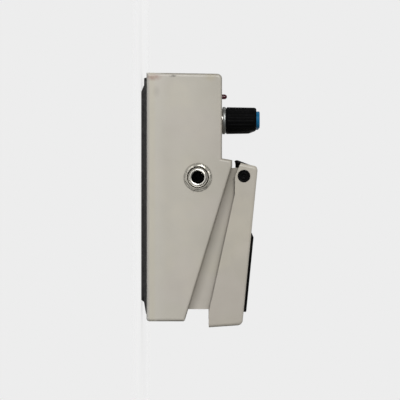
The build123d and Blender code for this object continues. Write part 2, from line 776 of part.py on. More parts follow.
# ---- audio sockets, one in each side -------------------------------------------------------------
jack_body_depth = 21.0
for side_name, side in sides.items():
    jack_centre = (side * jack_y, jack_z)
    with BuildPart() as jack_body:
        with BuildSketch(side_plane(side, cavity_half)):
            with Locations(jack_centre):
                RectangleRounded(14.0, 12.4, 1.0)
        extrude(amount=-jack_body_depth)
        with BuildSketch(side_plane(side, cavity_half)):
            with Locations(jack_centre):
                Circle(sleeve_radius + seat_gap)
        extrude(amount=-(sleeve_length - wall - sleeve_proud), mode=Mode.SUBTRACT)
        with BuildSketch(side_plane(side, cavity_half)):
            with Locations(jack_centre):
                Circle(jack_bore + 0.3)
        extrude(amount=1.5 - jack_body_depth, mode=Mode.SUBTRACT)
    write(jack_body, f"jack_{side_name}_body")
    with BuildPart() as jack_sleeve:
        with BuildSketch(side_plane(side, half + sleeve_proud)):
            with Locations(jack_centre):
                Circle(sleeve_radius)
        extrude(amount=-sleeve_length)
        lip = jack_sleeve.edges().filter_by(GeomType.CIRCLE).sort_by(Axis.X)[-1 if side > 0 else 0]
        chamfer(lip, 0.4)
        with BuildSketch(side_plane(side, half + sleeve_proud)):
            with Locations(jack_centre):
                Circle(jack_bore)
        extrude(amount=-sleeve_length, mode=Mode.SUBTRACT)
    write(jack_sleeve, f"jack_{side_name}_sleeve")
    with BuildPart() as jack_washer:
        with BuildSketch(side_plane(side, half)):
            with Locations(jack_centre):
                Circle(jack_washer_radius)
                Circle(sleeve_radius + run_gap, mode=Mode.SUBTRACT)
        extrude(amount=jack_washer_thick)
    write(jack_washer, f"jack_{side_name}_washer")
    with BuildPart() as jack_nut:
        with BuildSketch(side_plane(side, half + jack_washer_thick)):
            with Locations(jack_centre):
                RegularPolygon(jack_nut_flats / 2, 6, major_radius=False, rotation=12)
        extrude(amount=jack_nut_thick)
        with BuildSketch(side_plane(side, half + jack_washer_thick)):
            with Locations(jack_centre):
                Circle(sleeve_radius + seat_gap)
        extrude(amount=jack_nut_thick, mode=Mode.SUBTRACT)
    write(jack_nut, f"jack_{side_name}_nut")
    with BuildPart() as jack_contacts:
        with BuildSketch(side_plane(side, cavity_half - jack_body_depth)):
            for dy, dz in ((0, -4.4), (-4.4, 0), (4.4, 0)):
                with Locations((side * jack_y + dy, jack_z + dz)):
                    Rectangle(1.6, 0.8)
        extrude(amount=-3.0)
    write(jack_contacts, f"jack_{side_name}_contacts")

# ---- power socket --------------------------------------------------------------------------------
dc_body_depth = 13.0
with BuildPart() as dc_jack_body:
    with BuildSketch(Plane.XZ.offset(-cavity_rear)):
        with Locations((dc_x, dc_z)):
            Rectangle(12.0, 2 * (dc_z - board_top) - 0.1)
    extrude(amount=dc_body_depth)
    with BuildSketch(Plane.XZ.offset(-cavity_rear)):
        with Locations((dc_x, dc_z)):
            Circle(dc_nose_radius)
    extrude(amount=-(wall - 0.1))
    with BuildSketch(Plane.XZ.offset(-rear_y)):
        with Locations((dc_x, dc_z)):
            Circle(dc_hole_radius)
    extrude(amount=dc_hole_depth, mode=Mode.SUBTRACT)
write(dc_jack_body, "dc_jack_body")

with BuildPart() as dc_jack_pin:
    with BuildSketch(Plane.XZ.offset(dc_hole_depth - rear_y)):
        with Locations((dc_x, dc_z)):
            Circle(dc_pin_radius)
    extrude(amount=2.0 - dc_hole_depth)
    fillet(dc_jack_pin.edges().sort_by(Axis.Y)[-1], 0.5)
write(dc_jack_pin, "dc_jack_pin")

# ---- controls: potentiometers, shafts, nuts, knobs and caps --------------------------------------
flutes = 20
knob_base = panel_height + knob_gap
knob_top = knob_base + knob_height
for place, x in knob_places.items():
    with BuildPart() as pot_body:
        with BuildSketch(Plane.XY.offset(panel_under - pot_depth)):
            with Locations((x, knob_y)):
                Circle(pot_radius)
        extrude(amount=pot_depth)
        fillet(pot_body.edges().sort_by(Axis.Z)[0], 0.6)
        with BuildSketch(Plane.XY.offset(panel_under)):
            with Locations((x, knob_y)):
                Circle(bushing_radius)
        extrude(amount=bushing_length)
        with BuildSketch(Plane.XY.offset(panel_under + bushing_length)):
            with Locations((x, knob_y)):
                Circle(shaft_radius + run_gap)
        extrude(amount=1.5 - bushing_length - pot_depth, mode=Mode.SUBTRACT)
        with BuildSketch(Plane.XY.offset(panel_under - pot_depth + 2.4)):
            for lug in (-5.0, 0.0, 5.0):
                with Locations((x + lug, knob_y - pot_radius - 0.8)):
                    Rectangle(1.4, 8.0)
        extrude(amount=0.6)
    write(pot_body, f"pot_body_{place}")
    with BuildPart() as pot_shaft:
        with BuildSketch(Plane.XY.offset(panel_under - pot_depth + 1.6)):
            with Locations((x, knob_y)):
                Circle(shaft_radius)
        extrude(amount=shaft_length)
    write(pot_shaft, f"pot_shaft_{place}")
    with BuildPart() as knob:
        with BuildSketch(Plane.XZ.offset(-knob_y)):
            with BuildLine():
                Polyline(
                    (x, knob_base),
                    (x + knob_base_radius, knob_base),
                    (x + knob_base_radius, knob_base + knob_collar - 0.3),
                    (x + knob_base_radius - 0.5, knob_base + knob_collar),
                    (x + knob_base_radius - 0.15, knob_base + knob_collar + 0.5),
                    (x + knob_top_radius, knob_top - 1.0),
                    (x + knob_top_radius - 0.8, knob_top),
                    (x, knob_top),
                    close=True,
                )
            make_face()
        revolve(axis=Axis((x, knob_y, 0), (0, 0, 1)))
        with BuildSketch(Plane.XY.offset(knob_base + knob_collar + 1.6)):
            with Locations((x, knob_y)):
                with PolarLocations(knob_base_radius + 0.45, flutes):
                    Circle(0.85)
        extrude(amount=knob_height, mode=Mode.SUBTRACT)
        with BuildSketch(Plane.YZ.offset(x)):
            with BuildLine():
                Polyline(
                    (knob_y - knob_base_radius - 1.0, knob_top - 4.6),
                    (knob_y - knob_top_radius - 0.1, knob_top - 4.0),
                    (knob_y - knob_top_radius + 1.5, knob_top + 0.5),
                    (knob_y - knob_base_radius - 1.0, knob_top + 0.5),
                    close=True,
                )
            make_face()
        extrude(amount=knob_base_radius, both=True, mode=Mode.SUBTRACT)
        with BuildSketch(Plane.XY.offset(knob_base)):
            with Locations((x, knob_y)):
                Circle(knob_recess_radius)
        extrude(amount=knob_recess, mode=Mode.SUBTRACT)
        with BuildSketch(Plane.XY.offset(knob_base)):
            with Locations((x, knob_y)):
                Circle(shaft_radius + seat_gap)
        extrude(amount=panel_under - pot_depth + 1.7 + shaft_length - knob_base, mode=Mode.SUBTRACT)
        with BuildSketch(Plane.XY.offset(knob_top)):
            with Locations((x, knob_y)):
                Circle(cap_radius + seat_gap)
        extrude(amount=-cap_seat, mode=Mode.SUBTRACT)
    write(knob, f"knob_{place}")
    with BuildPart() as cap:
        with BuildSketch(Plane.XY.offset(knob_top - cap_seat)):
            with Locations((x, knob_y)):
                Circle(cap_radius)
        extrude(amount=cap_seat + cap_proud)
        fillet(cap.edges().sort_by(Axis.Z)[-1], 0.5)
        with BuildSketch(Plane.XY.offset(knob_top + cap_proud)):
            with Locations((x, knob_y - cap_radius / 2)):
                Rectangle(0.9, cap_radius)
        extrude(amount=-0.35, mode=Mode.SUBTRACT)
    write(cap, f"knob_cap_{place}")

with BuildPart() as pot_washers:
    with BuildSketch(Plane.XY.offset(panel_height)):
        for x in knob_places.values():
            with Locations((x, knob_y)):
                Circle(pot_washer_radius)
                Circle(bushing_radius + run_gap, mode=Mode.SUBTRACT)
    extrude(amount=pot_washer_thick)
write(pot_washers, "pot_washers")

with BuildPart() as pot_nuts:
    with BuildSketch(Plane.XY.offset(panel_height + pot_washer_thick)):
        for x in knob_places.values():
            with Locations((x, knob_y)):
                RegularPolygon(pot_nut_flats / 2, 6, major_radius=False)
                Circle(bushing_radius + seat_gap, mode=Mode.SUBTRACT)
    extrude(amount=pot_nut_thick)
write(pot_nuts, "pot_nuts")

# ---- indicator lamp ------------------------------------------------------------------------------
lamp_flange_z = panel_under - 1.0
with BuildPart() as led_lens:
    with BuildSketch(Plane.XZ.offset(-lamp_y)):
        with BuildLine():
            Line((0, lamp_flange_z), (lamp_radius + 0.4, lamp_flange_z))
            Line((lamp_radius + 0.4, lamp_flange_z), (lamp_radius + 0.4, panel_under))
            Line((lamp_radius + 0.4, panel_under), (lamp_radius, panel_under))
            Line((lamp_radius, panel_under), (lamp_radius, panel_height + lamp_proud - lamp_radius))
            RadiusArc(
                (lamp_radius, panel_height + lamp_proud - lamp_radius),
                (0, panel_height + lamp_proud),
                -lamp_radius,
            )
            Line((0, panel_height + lamp_proud), (0, lamp_flange_z))
        make_face()
    revolve(axis=Axis((0, lamp_y, 0), (0, 0, 1)))
write(led_lens, "led_lens")

with BuildPart() as led_legs:
    with BuildSketch(Plane.XY.offset(board_top)):
        with Locations((-1.27, lamp_y), (1.27, lamp_y)):
            Rectangle(0.5, 0.5)
    extrude(amount=lamp_flange_z - board_top)
write(led_legs, "led_legs")

# ---- battery -------------------------------------------------------------------------------------
with BuildPart() as battery_foam:
    with BuildSketch(Plane.XY.offset(floor_top)):
        with Locations((battery_x, battery_y)):
            Rectangle(battery_length - 6.0, battery_width - 4.0)
    extrude(amount=foam_thick)
write(battery_foam, "battery_foam")

with BuildPart() as battery:
    with BuildSketch(Plane.XY.offset(battery_z)):
        with Locations((battery_x, battery_y)):
            RectangleRounded(battery_length, battery_width, 1.2)
    extrude(amount=battery_height)
    with BuildSketch(Plane.YZ.offset(battery_end)):
        with Locations((battery_y - 6.35, battery_z + battery_height / 2)):
            Circle(2.9)
        with Locations((battery_y + 6.35, battery_z + battery_height / 2)):
            Circle(4.0)
    extrude(amount=2.1)
write(battery, "battery")

with BuildPart() as battery_snap:
    with BuildSketch(Plane.YZ.offset(snap_x)):
        with Locations((battery_y, battery_z + battery_height / 2)):
            RectangleRounded(2 * snap_half, 12.0, 3.0)
    extrude(amount=snap_thick)
write(battery_snap, "battery_snap")

for lead_name, offset_x in {"red": -lead_gap / 2, "black": lead_gap / 2}.items():
    start = (lead_x + offset_x, battery_y + snap_half, lead_z)
    bend = (lead_x + offset_x, bulkhead_y + lead_landing, lead_z)
    end = (lead_x + offset_x, bulkhead_y + lead_landing, board_top)
    with BuildPart() as lead:
        with BuildLine():
            FilletPolyline(start, bend, end, radius=[0.45 * (lead_z - board_top)])
        with BuildSketch(Plane(origin=start, z_dir=(0, 1, 0))):
            Circle(lead_radius)
        sweep()
    write(lead, f"battery_lead_{lead_name}")
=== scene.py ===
import json
from math import cos, pi, radians, sin

import bmesh
import bpy
from mathutils import Matrix, Vector


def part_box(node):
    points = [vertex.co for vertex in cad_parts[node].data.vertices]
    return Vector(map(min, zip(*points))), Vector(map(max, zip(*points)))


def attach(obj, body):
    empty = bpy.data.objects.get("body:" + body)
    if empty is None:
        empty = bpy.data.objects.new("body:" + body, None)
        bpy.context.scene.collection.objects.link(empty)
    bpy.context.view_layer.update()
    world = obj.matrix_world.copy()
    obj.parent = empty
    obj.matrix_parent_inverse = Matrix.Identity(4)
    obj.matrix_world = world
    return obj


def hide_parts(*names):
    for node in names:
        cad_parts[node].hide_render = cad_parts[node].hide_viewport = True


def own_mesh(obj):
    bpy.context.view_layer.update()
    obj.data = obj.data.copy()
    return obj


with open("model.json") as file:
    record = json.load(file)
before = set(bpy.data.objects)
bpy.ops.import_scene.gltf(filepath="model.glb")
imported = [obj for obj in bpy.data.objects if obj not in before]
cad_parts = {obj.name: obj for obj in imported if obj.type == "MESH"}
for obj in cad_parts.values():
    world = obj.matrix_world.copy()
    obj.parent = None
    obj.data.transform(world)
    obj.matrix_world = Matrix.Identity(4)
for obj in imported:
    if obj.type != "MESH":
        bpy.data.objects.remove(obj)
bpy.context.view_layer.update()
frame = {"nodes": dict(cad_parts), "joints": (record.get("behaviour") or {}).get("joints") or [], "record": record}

MM = 0.001
NODES = frame["nodes"]

# Colours, as sRGB values from 0 to 255
CREAM = (207, 202, 190)
CREAM_TREADLE = (197, 191, 178)
PALE_MOTTLE = (224, 216, 196)
ROSY_MOTTLE = (214, 204, 200)
PALE_PAINTED_LIGHT = (234, 231, 222)
WARM_STRIP = (206, 196, 160)
YELLOWED = (186, 174, 138)
WORN_EDGE = (150, 142, 126)
DIRT_AND_SHADE = (120, 110, 94)
CREVICE_SHADE = (104, 98, 86)
PAINTED_SHADE = (92, 86, 74)
SCUFF = (170, 128, 114)
PRIMER = (104, 98, 88)
BLACK_RUBBER = (50, 48, 48)
PAD_BLACK = (6, 6, 6)
KNOB_BLACK = (6, 6, 7)
RUBBED_BLACK = (96, 92, 86)
BACKDROP = (237, 237, 237)
FLOOR_GREY = (150, 150, 150)

# Shape of the housing and the treadle, in mm and radians
HALF_WIDTH = 35.0
SHOULDER_POINT = (17.15, 46.05)    # Y and Z of a point on the slanted shoulder
SHOULDER_SLOPE = 0.2981
TREADLE_TILT = radians(5.63)

# Stage
FLOOR_GLOW = 0.812                 # brings the lit floor up to the backdrop's grey
FLOOR_RADIUS = 0.42                # in metres
FLOOR_DROP = 0.1 * MM              # keeps the floor clear of the rubber's underside, which lies at 0
SURROUND_LIGHT = 0.20              # strength of the even light from all round
CAMERA_DISTANCE = 2.3              # in metres, from the housing's left side
CAMERA_HEIGHT = 0.02975            # in metres, half way up the pedal
FRAME_WIDTH = 0.2024               # in metres, what the camera sees at the housing's left side
SENSOR_WIDTH = 36.0                # in mm


def linear(colour):
    """An sRGB colour from 0 to 255 as linear RGBA."""
    parts = [part / 255.0 for part in colour]
    parts = [part / 12.92 if part <= 0.04045 else ((part + 0.055) / 1.055) ** 2.4
             for part in parts]
    return (*parts, 1.0)


# ---- materials -----------------------------------------------------------------------------------
class Surface:
    """A procedural material: one Principled shader, with helpers that add nodes for its detail."""

    def __init__(self, name, colour, roughness, **sockets):
        self.material = bpy.data.materials.new(name)
        self.material.use_nodes = True
        self.tree = self.material.node_tree
        self.shader = self.tree.nodes["Principled BSDF"]
        self.place = self.tree.nodes.new("ShaderNodeTexCoord").outputs["Object"]
        self.shader.inputs["Base Color"].default_value = linear(colour)
        self.shader.inputs["Roughness"].default_value = roughness
        for socket, value in sockets.items():
            self.shader.inputs[socket.replace("_", " ")].default_value = value
        self.colour = None
        self.bump = None
        self.base = linear(colour)

    def noise(self, per_mm, detail=3.0, rough=0.55, stretch=None):
        """Noise with about per_mm features in a millimetre."""
        node = self.tree.nodes.new("ShaderNodeTexNoise")
        node.inputs["Scale"].default_value = per_mm / MM
        node.inputs["Detail"].default_value = detail
        node.inputs["Roughness"].default_value = rough
        source = self.place
        if stretch:
            mapping = self.tree.nodes.new("ShaderNodeMapping")
            mapping.inputs["Scale"].default_value = stretch
            self.tree.links.new(source, mapping.inputs["Vector"])
            source = mapping.outputs["Vector"]
        self.tree.links.new(source, node.inputs["Vector"])
        return node.outputs["Fac"]

    def ramp(self, value, low, high, start=0.0, end=1.0):
        """Maps value from low..high to start..end, held at both ends."""
        node = self.tree.nodes.new("ShaderNodeMapRange")
        node.interpolation_type = "SMOOTHSTEP"
        node.inputs["From Min"].default_value = low
        node.inputs["From Max"].default_value = high
        node.inputs["To Min"].default_value = start
        node.inputs["To Max"].default_value = end
        self.tree.links.new(value, node.inputs["Value"])
        return node.outputs["Result"]

    def math(self, operation, first, second=0):
        """One step of arithmetic on sockets or plain numbers."""
        node = self.tree.nodes.new("ShaderNodeMath")
        node.operation = operation
        for socket, value in zip(node.inputs, (first, second)):
            if hasattr(value, "links"):
                self.tree.links.new(value, socket)
            else:
                socket.default_value = value
        return node.outputs[0]

    def both(self, first, second):
        """High only where both values are high."""
        return self.math("MULTIPLY", first, second)

    def fade(self, value, none_mm, full_mm):
        """0 where a length is at one measure, rising to 1 where it is at the other."""
        if none_mm < full_mm:
            return self.ramp(value, none_mm * MM, full_mm * MM)
        return self.ramp(value, full_mm * MM, none_mm * MM, 1.0, 0.0)

    def near(self, point_mm, radius_mm, blur=0.5, squeeze=(1, 1, 1)):
        """1 at a point in the row frame, falling to 0 at a radius from it."""
        mapping = self.tree.nodes.new("ShaderNodeMapping")
        mapping.vector_type = "TEXTURE"
        mapping.inputs["Location"].default_value = [part * MM for part in point_mm]
        mapping.inputs["Scale"].default_value = squeeze
        self.tree.links.new(self.place, mapping.inputs["Vector"])
        length = self.tree.nodes.new("ShaderNodeVectorMath")
        length.operation = "LENGTH"
        self.tree.links.new(mapping.outputs["Vector"], length.inputs[0])
        return self.ramp(length.outputs["Value"], radius_mm * blur * MM, radius_mm * MM, 1.0, 0.0)

    def axis(self, name):
        """One of the row frame's coordinates, in metres."""
        node = self.tree.nodes.new("ShaderNodeSeparateXYZ")
        self.tree.links.new(self.place, node.inputs[0])
        return node.outputs[name]

    def facing(self, name):
        """One part of the surface's direction, in the row frame at rest."""
        node = self.tree.nodes.new("ShaderNodeSeparateXYZ")
        direction = self.tree.nodes.new("ShaderNodeTexCoord").outputs["Normal"]
        self.tree.links.new(direction, node.inputs[0])
        return node.outputs[name]

    def edges(self, radius_mm):
        """1 on edges, from the difference between the bevelled and the plain normal."""
        bevel = self.tree.nodes.new("ShaderNodeBevel")
        bevel.samples = 6
        bevel.inputs["Radius"].default_value = radius_mm * MM
        plain = self.tree.nodes.new("ShaderNodeNewGeometry").outputs["Normal"]
        dot = self.tree.nodes.new("ShaderNodeVectorMath")
        dot.operation = "DOT_PRODUCT"
        self.tree.links.new(bevel.outputs["Normal"], dot.inputs[0])
        self.tree.links.new(plain, dot.inputs[1])
        return self.ramp(dot.outputs["Value"], 0.78, 0.99, 1.0, 0.0)

    def above_line(self, point_mm, slope, reach_mm):
        """1 on a line in the side view, falling to 0 a reach above it, and 0 below it."""
        across = self.tree.nodes.new("ShaderNodeVectorMath")
        across.operation = "DOT_PRODUCT"
        across.inputs[1].default_value = (0, -sin(slope), cos(slope))
        self.tree.links.new(self.place, across.inputs[0])
        level = (point_mm[1] * cos(slope) - point_mm[0] * sin(slope)) * MM
        rise = across.outputs["Value"]
        fall = self.ramp(rise, level, level + reach_mm * MM, 1.0, 0.0)
        return self.both(fall, self.ramp(rise, level - 0.05 * MM, level + 0.05 * MM))

    def crevices(self, reach_mm):
        """1 deep in a corner or gap, 0 in the open, from how much nearby surface there is."""
        node = self.tree.nodes.new("ShaderNodeAmbientOcclusion")
        node.samples = 8
        node.inputs["Distance"].default_value = reach_mm * MM
        return self.ramp(node.outputs["AO"], 0.30, 0.95, 1.0, 0.0)

    def tint(self, colour, amount, strength=1.0):
        """Lays a colour over what is there, as far as amount says."""
        mix = self.tree.nodes.new("ShaderNodeMix")
        mix.data_type = "RGBA"
        mix.inputs["B"].default_value = linear(colour)
        if self.colour:
            self.tree.links.new(self.colour, mix.inputs["A"])
        else:
            mix.inputs["A"].default_value = self.base
        self.tree.links.new(self.both(amount, strength), mix.inputs["Factor"])
        self.colour = mix.outputs["Result"]
        self.tree.links.new(self.colour, self.shader.inputs["Base Color"])
        return self

    def roughness(self, value, low, high):
        """Lets a noise value vary the roughness."""
        self.tree.links.new(self.ramp(value, 0.3, 0.7, low, high), self.shader.inputs["Roughness"])
        return self

    def relief(self, height, depth_mm, strength=1.0):
        """Adds a bump of about that depth."""
        node = self.tree.nodes.new("ShaderNodeBump")
        node.inputs["Distance"].default_value = depth_mm * MM
        node.inputs["Strength"].default_value = strength
        self.tree.links.new(height, node.inputs["Height"])
        if self.bump:
            self.tree.links.new(self.bump, node.inputs["Normal"])
        self.bump = node.outputs["Normal"]
        self.tree.links.new(self.bump, self.shader.inputs["Normal"])
        return self


def cast_paint(name, colour, edge_shade=0.55, unshaded_foot=0.0):
    """Gloss cream paint on a casting: orange peel, mottling, specks, and painted shade in corners and on edges.

    The painted shade fades out below the foot height, in mm above the floor."""
    paint = Surface(name, colour, 0.36, IOR=1.5)
    paint.tint(DIRT_AND_SHADE, paint.ramp(paint.noise(0.02, 4), 0.42, 0.75), 0.10)
    paint.tint(PALE_MOTTLE, paint.ramp(paint.noise(0.05, 2), 0.45, 0.7), 0.22)
    specks = paint.ramp(paint.noise(1.4, 2), 0.70, 0.78)
    paint.tint(DIRT_AND_SHADE, specks, 0.28)
    patchy = paint.ramp(paint.noise(0.35, 5, 0.7), 0.50, 0.66)
    paint.tint(WORN_EDGE, paint.both(paint.edges(0.5), patchy), 0.40)
    # Painted shade, darker deep in corners and gaps, kept off the lowest part of the sides
    off_the_floor = paint.fade(paint.axis("Z"), 0.4 * unshaded_foot, unshaded_foot + 0.1)
    paint.tint(CREVICE_SHADE, paint.both(paint.crevices(7.0), off_the_floor), 0.62)
    paint.tint(ROSY_MOTTLE, paint.ramp(paint.noise(0.035, 1), 0.42, 0.62), 0.20)
    # Painted shade on the rounded edges round the sides, where they turn away from the side faces
    turned_away = paint.ramp(paint.math("ABSOLUTE", paint.facing("X")), 0.50, 0.92, 1.0, 0.0)
    from_middle = paint.math("ABSOLUTE", paint.axis("X"))
    beside = paint.fade(from_middle, HALF_WIDTH - 1.6, HALF_WIDTH - 1.2)
    shaded_rounded_sides = paint.both(paint.both(turned_away, beside), off_the_floor)
    paint.tint(PAINTED_SHADE, shaded_rounded_sides, edge_shade)
    paint.roughness(paint.noise(0.12, 3), 0.30, 0.42)
    paint.relief(paint.noise(0.55, 2), 0.035, 0.35)
    return paint.relief(paint.noise(3.0, 2), 0.006, 0.4)


def housing_paint():
    """The housing's marks: a pale foot of painted light, a painted shadow along the shoulder, painted shade higher
    up, and a scuff and a chip at the rear.
    """
    paint = cast_paint("housing_paint", CREAM, unshaded_foot=12.0)
    low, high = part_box("enclosure")
    left, rear, foot = low.x / MM, high.y / MM, low.z / MM
    height = paint.axis("Z")

    # Painted highlight along the bottom edge of the housing
    paint.tint(PALE_PAINTED_LIGHT, paint.fade(height, foot + 1.1, foot + 0.9), 0.9)
    line = paint.both(paint.fade(height, foot + 0.95, foot + 1.2),
                      paint.fade(height, foot + 1.6, foot + 1.3))
    paint.tint(DIRT_AND_SHADE, line, 0.22)
    strip = paint.both(paint.fade(height, foot + 1.4, foot + 1.8),
                       paint.fade(height, foot + 5.5, foot + 3.0))
    paint.tint(WARM_STRIP, strip, 0.32)

    from_middle = paint.math("ABSOLUTE", paint.axis("X"))
    flat_of_side = paint.fade(from_middle, HALF_WIDTH - 1.5, HALF_WIDTH - 2.0)
    # Painted shadow, cast by the slanted shoulder onto the flat of the side just above it
    shoulder_shadow = paint.above_line(SHOULDER_POINT, SHOULDER_SLOPE, 5.5)
    paint.tint(PAINTED_SHADE, paint.both(shoulder_shadow, flat_of_side), 0.48)
    # Painted shade: the side grows darker higher up, towards the panel
    paint.tint(DIRT_AND_SHADE, paint.fade(height, foot + 14, foot + 52), 0.25)
    # Painted light: the side grows lighter towards the foot
    paint.tint(PALE_PAINTED_LIGHT, paint.fade(height, foot + 12, foot + 1.5), 0.34)

    ragged = paint.ramp(paint.noise(0.9, 5, 0.75), 0.40, 0.56)
    scuff = paint.near((left, rear - 2.4, foot + 3.6), 5.4, 0.1, (1, 0.42, 1))
    paint.tint(SCUFF, scuff, 0.35)
    paint.tint(SCUFF, paint.both(scuff, ragged), 0.45)
    chip = paint.near((left, rear - 1.7, foot + 13.4), 1.8, 0.4, (1, 0.45, 1.3))
    paint.tint(PRIMER, paint.both(chip, ragged), 0.75)
    smudge = paint.near((left, rear - 9.5, foot + 5.0), 4.2, 0.1, (1, 1, 0.6))
    paint.tint(DIRT_AND_SHADE, smudge, 0.16)
    yellow_spot = paint.near((left, rear - 2.4, foot + 32.5), 4.5, 0.1, (1, 0.6, 1))
    paint.tint(YELLOWED, yellow_spot, 0.30)
    return paint


def rubber(name, colour, dust=0.25, shine=0.35):
    """Matte rubber with a fine grain and pale dust."""
    made = Surface(name, colour, 0.78, Specular_IOR_Level=shine)
    made.tint((92, 90, 86), made.ramp(made.noise(0.5, 5, 0.7), 0.56, 0.78), dust)
    made.tint((140, 136, 128), made.ramp(made.noise(2.2, 2), 0.73, 0.80), dust)
    made.roughness(made.noise(0.3, 3), 0.70, 0.88)
    return made.relief(made.noise(4.0, 3), 0.03, 0.6)


def plastic(name, colour, rough, grain=0.012, lift=(70, 70, 72), wear=0.12, shine=0.5):
    """Moulded plastic with a fine grain and slightly paler rubbed edges."""
    made = Surface(name, colour, rough, IOR=1.47, Specular_IOR_Level=shine)
    made.tint(lift, made.edges(0.25), wear)
    made.tint(lift, made.ramp(made.noise(0.8, 4, 0.65), 0.56, 0.76), wear * 0.6)
    made.roughness(made.noise(0.6, 3), rough - 0.06, rough + 0.10)
    return made.relief(made.noise(6.0, 2), grain, 0.5)


def metal(name, colour, rough, lines=None, stain=(60, 52, 40), amount=0.25):
    """Bare or plated metal; lines stretches its grain along one way."""
    made = Surface(name, colour, rough, Metallic=1.0)
    made.tint(stain, made.ramp(made.noise(0.4, 5, 0.7), 0.52, 0.78), amount)
    grain = made.noise(3.0, 3, 0.6, lines or (1, 1, 1))
    made.roughness(grain, max(rough - 0.08, 0.05), rough + 0.12)
    return made.relief(grain, 0.008, 0.35)


def circuit_board():
    """Green solder mask over copper tracks."""
    made = Surface("board_laminate", (22, 86, 48), 0.35, IOR=1.5)
    tracks = made.tree.nodes.new("ShaderNodeTexBrick")
    made.tree.links.new(made.place, tracks.inputs["Vector"])
    tracks.inputs["Scale"].default_value = 120.0
    tracks.inputs["Mortar Size"].default_value = 0.06
    made.tint((46, 124, 66), tracks.outputs["Fac"], 0.6)
    made.tint((190, 186, 170), made.ramp(made.noise(0.7, 1), 0.72, 0.74), 0.7)
    return made.relief(tracks.outputs["Fac"], 0.04, 0.5)


def lamp_plastic():
    """Dark red diffused lens, unlit."""
    made = Surface("lamp_lens", (92, 36, 48), 0.12, IOR=1.49, Transmission_Weight=0.35)
    made.tint((58, 4, 8), made.ramp(made.noise(0.5, 3), 0.4, 0.7), 0.5)
    return made.relief(made.noise(2.0, 2), 0.006, 0.3)


def foam_sheet():
    """Dark open-cell foam."""
    made = Surface("foam", (52, 52, 54), 0.95)
    cells = made.tree.nodes.new("ShaderNodeTexVoronoi")
    cells.inputs["Scale"].default_value = 1.6 / MM
    made.tree.links.new(made.place, cells.inputs["Vector"])
    made.tint((24, 24, 25), made.ramp(cells.outputs["Distance"], 0.1, 0.5, 1.0, 0.0), 0.8)
    return made.relief(cells.outputs["Distance"], 0.15, 0.8)


SURFACES = {
    "housing_paint": housing_paint(),
    "treadle_paint": cast_paint("treadle_paint", CREAM_TREADLE, 0.14),
    "base_steel": plastic("base_steel", (13, 12, 12), 0.60, 0.02, (60, 58, 54), 0.12),
    "base_rubber": rubber("base_rubber", BLACK_RUBBER),
    "pad_rubber": rubber("pad_rubber", PAD_BLACK, 0.02, 0.06),
    "soft_rubber": rubber("soft_rubber", (34, 34, 34)),
    "bush_plastic": plastic("bush_plastic", (2, 2, 2), 0.42, 0.006, (24, 23, 24), 0.03, 0.07),
    "zinc_steel": metal("zinc_steel", (186, 184, 176), 0.32),
    "black_metal": metal("black_metal", (30, 29, 30), 0.42, None, RUBBED_BLACK, 0.2),
    "brass": metal("brass", (202, 166, 92), 0.28),
    "spring_steel": metal("spring_steel", (150, 148, 144), 0.3),
    "cap_plastic": plastic("cap_plastic", (26, 104, 147), 0.42, 0.006, (40, 120, 164), 0.08, 0.12),
    "knob_plastic": plastic("knob_plastic", KNOB_BLACK, 0.55, 0.008, (26, 26, 28), 0.06, 0.05),
    "pot_metal": metal("pot_metal", (176, 174, 166), 0.38, (1, 1, 0.1)),
    "nickel": metal("nickel", (202, 198, 188), 0.24, None, (96, 92, 80), 0.16),
    "socket_plastic": plastic("socket_plastic", (24, 24, 25), 0.5),
    "lamp_lens": lamp_plastic(),
    "board_laminate": circuit_board(),
    "chip_plastic": plastic("chip_plastic", (28, 28, 30), 0.55),
    "plunger_plastic": plastic("plunger_plastic", (206, 202, 190), 0.4, 0.01, (150, 146, 134), 0.2),
    "capacitor_sleeve": plastic("capacitor_sleeve", (24, 34, 78), 0.28, 0.006, (120, 130, 160), 0.2),
    "resistor_body": plastic("resistor_body", (190, 160, 116), 0.35, 0.01, (120, 60, 40), 0.3),
    "battery_case": metal("battery_case", (120, 122, 126), 0.34, (1, 0.1, 1)),
    "lead_red": plastic("lead_red", (150, 30, 28), 0.4, 0.01, (190, 90, 84), 0.2),
    "lead_black": plastic("lead_black", (24, 24, 25), 0.4),
    "foam": foam_sheet(),
}

# Finishes of single pieces that stand out from the rest of their slot
# Painted shade: the socket's sleeve, washer and nut are darker copies of the nickel
SLEEVE_PAINTED_SHADE = metal("sleeve_painted_shade", (60, 58, 54), 0.5, None, (30, 28, 26), 0.3)
WASHER_PAINTED_SHADE = metal("socket_washer", (152, 149, 140), 0.34, None, (60, 57, 50), 0.4)
NUT_PAINTED_SHADE = metal("socket_nut", (178, 174, 164), 0.34, None, (70, 66, 58), 0.3)
KNOB_COLLAR = metal("knob_collar", (146, 148, 146), 0.46, None, (70, 70, 66), 0.2)
# Painted highlight: the socket's lip is a brighter, glossier copy of the nickel
LIP_PAINTED_HIGHLIGHT = metal("lip_painted_highlight", (232, 229, 220), 0.14, None, (120, 112, 96), 0.2)
POINTER = plastic("pointer_paint", (222, 224, 222), 0.4, 0.01, (150, 150, 148), 0.3)

SLOT_OF = {part["node"]: part["material_slot"] for part in frame["record"]["subparts"]}


def dress(piece, surface):
    """Gives a piece one surface, in every slot that it has."""
    if not piece.material_slots:
        piece.data.materials.append(surface.material)
    for place in piece.material_slots:
        place.material = surface.material


for node_name, node in NODES.items():
    dress(node, SURFACES[SLOT_OF[node_name]])


